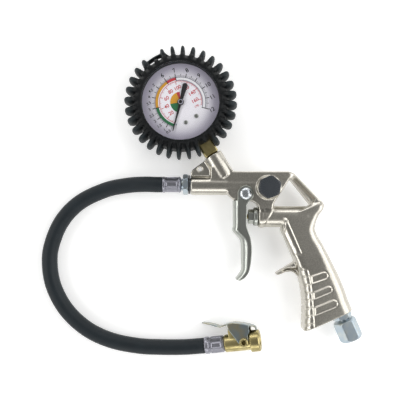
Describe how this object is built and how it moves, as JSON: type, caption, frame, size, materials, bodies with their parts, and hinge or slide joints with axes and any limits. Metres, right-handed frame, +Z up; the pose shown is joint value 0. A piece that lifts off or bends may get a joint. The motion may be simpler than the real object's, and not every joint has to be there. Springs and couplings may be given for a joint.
{
  "type": "portable tire inflator",
  "caption": "Hand-held tire inflator: pistol-grip air gun with squeeze trigger, dial gauge in a ribbed rubber boot, and a short hose with a clip-on chuck.",
  "frame": {"origin": "on the surface under the middle of the gun and gauge, which lie on their side", "axes": "+Z up from the surface and out of the dial, +X along the barrel away from the hose, +Y from the grip towards the gauge"},
  "size_m": [0.2512, 0.2407, 0.033],
  "materials": {
    "nickel_casting": "satin nickel plate over a die casting",
    "nickel_steel": "pressed steel, nickel plated",
    "bright_chrome": "bright chrome plate",
    "zinc_steel": "turned or pressed steel, zinc plated",
    "turned_brass": "turned brass, lightly tarnished",
    "moulded_rubber": "matt black moulded rubber",
    "black_plastic": "satin black moulded plastic",
    "clear_lens": "clear polished lens",
    "white_dial": "printed white dial sheet",
    "black_needle": "matt black paint"
  },
  "bodies": {
    "gun": {"gun_body": "nickel_casting", "trigger_screw": "bright_chrome", "trigger_nut": "zinc_steel", "gland_nut": "zinc_steel", "gland_o_ring": "moulded_rubber", "valve_seat": "turned_brass", "valve_spring": "zinc_steel", "deflate_bush": "turned_brass", "deflate_spring": "zinc_steel", "inlet_nipple": "zinc_steel", "inlet_seal": "moulded_rubber", "hose_fitting": "zinc_steel", "hose_washer": "moulded_rubber", "hose_ferrule": "zinc_steel", "hose": "moulded_rubber", "chuck_ferrule": "zinc_steel", "chuck_body": "turned_brass", "chuck_tail": "turned_brass", "clip_rivet_front": "turned_brass", "clip_rivet_back": "turned_brass", "clip_spring": "zinc_steel", "chuck_seal": "moulded_rubber", "chuck_depressor": "turned_brass", "gauge_case": "zinc_steel", "gauge_bezel": "bright_chrome", "gauge_boot": "moulded_rubber", "gauge_lens": "clear_lens", "gauge_dial": "white_dial", "dial_screw_a": "zinc_steel", "dial_screw_b": "zinc_steel", "pointer_stop": "zinc_steel", "gauge_stem": "turned_brass", "bourdon_tube": "turned_brass", "bourdon_tip": "turned_brass", "movement_plate_back": "turned_brass", "movement_plate_front": "turned_brass", "movement_pillar_a": "turned_brass", "movement_pillar_b": "turned_brass", "link_rod": "zinc_steel"},
    "trigger_lever": {"trigger": "nickel_steel"},
    "valve": {"valve_pin": "turned_brass", "valve_poppet": "moulded_rubber"},
    "button": {"deflate_button": "black_plastic", "deflate_pin": "turned_brass"},
    "swivel_nut": {"inlet_nut": "zinc_steel"},
    "sector": {"sector_gear": "turned_brass"},
    "pointer": {"gauge_pointer": "black_needle", "pinion_arbor": "zinc_steel"},
    "clip": {"chuck_clip": "nickel_steel"}
  },
  "joints": [
    {"name": "trigger_turn", "type": "hinge", "parent": "gun", "child": "trigger_lever", "pos_m": [0.001, 0.0013, 0.0128], "axis": [0, 0, 1], "range_deg": [0, 13], "stiffness_Nm_per_rad": 0.6, "springref_deg": -11.46},
    {"name": "valve_slide", "type": "slide", "parent": "gun", "child": "valve", "axis": [1, 0, 0], "range_m": [0, 0.004], "deforming": ["valve_spring"]},
    {"name": "deflate_push", "type": "slide", "parent": "gun", "child": "button", "axis": [0, 0, -1], "range_m": [0, 0.003], "stiffness_N_per_m": 800, "springref_m": -0.002, "deforming": ["deflate_spring"]},
    {"name": "inlet_swivel", "type": "hinge", "parent": "gun", "child": "swivel_nut", "pos_m": [0.0753, -0.0911, 0.0128], "axis": [0.4067, -0.9135, 0], "continuous": true},
    {"name": "sector_turn", "type": "hinge", "parent": "gun", "child": "sector", "pos_m": [-0.03915, 0.06667, 0.0128], "axis": [0, 0, 1], "range_deg": [0, 27], "stiffness_Nm_per_rad": 0.01, "springref_deg": -2.86},
    {"name": "pointer_turn", "type": "hinge", "parent": "gun", "child": "pointer", "pos_m": [-0.04888, 0.07126, 0.0128], "axis": [0, 0, 1], "range_deg": [-270, 0]},
    {"name": "chuck_clip_turn", "type": "hinge", "parent": "gun", "child": "clip", "pos_m": [0.00095, -0.11376, 0.01256], "axis": [-0.1887, 0.1053, 0.9764], "range_deg": [0, 12], "stiffness_Nm_per_rad": 0.5, "springref_deg": -11.46, "deforming": ["clip_spring"]}
  ],
  "couplings": [
    {"joint": "pointer_turn", "follows": "sector_turn", "ratio": -10},
    {"joint": "valve_slide", "follows": "trigger_turn", "m_per_rad": 0.0175}
  ]
}
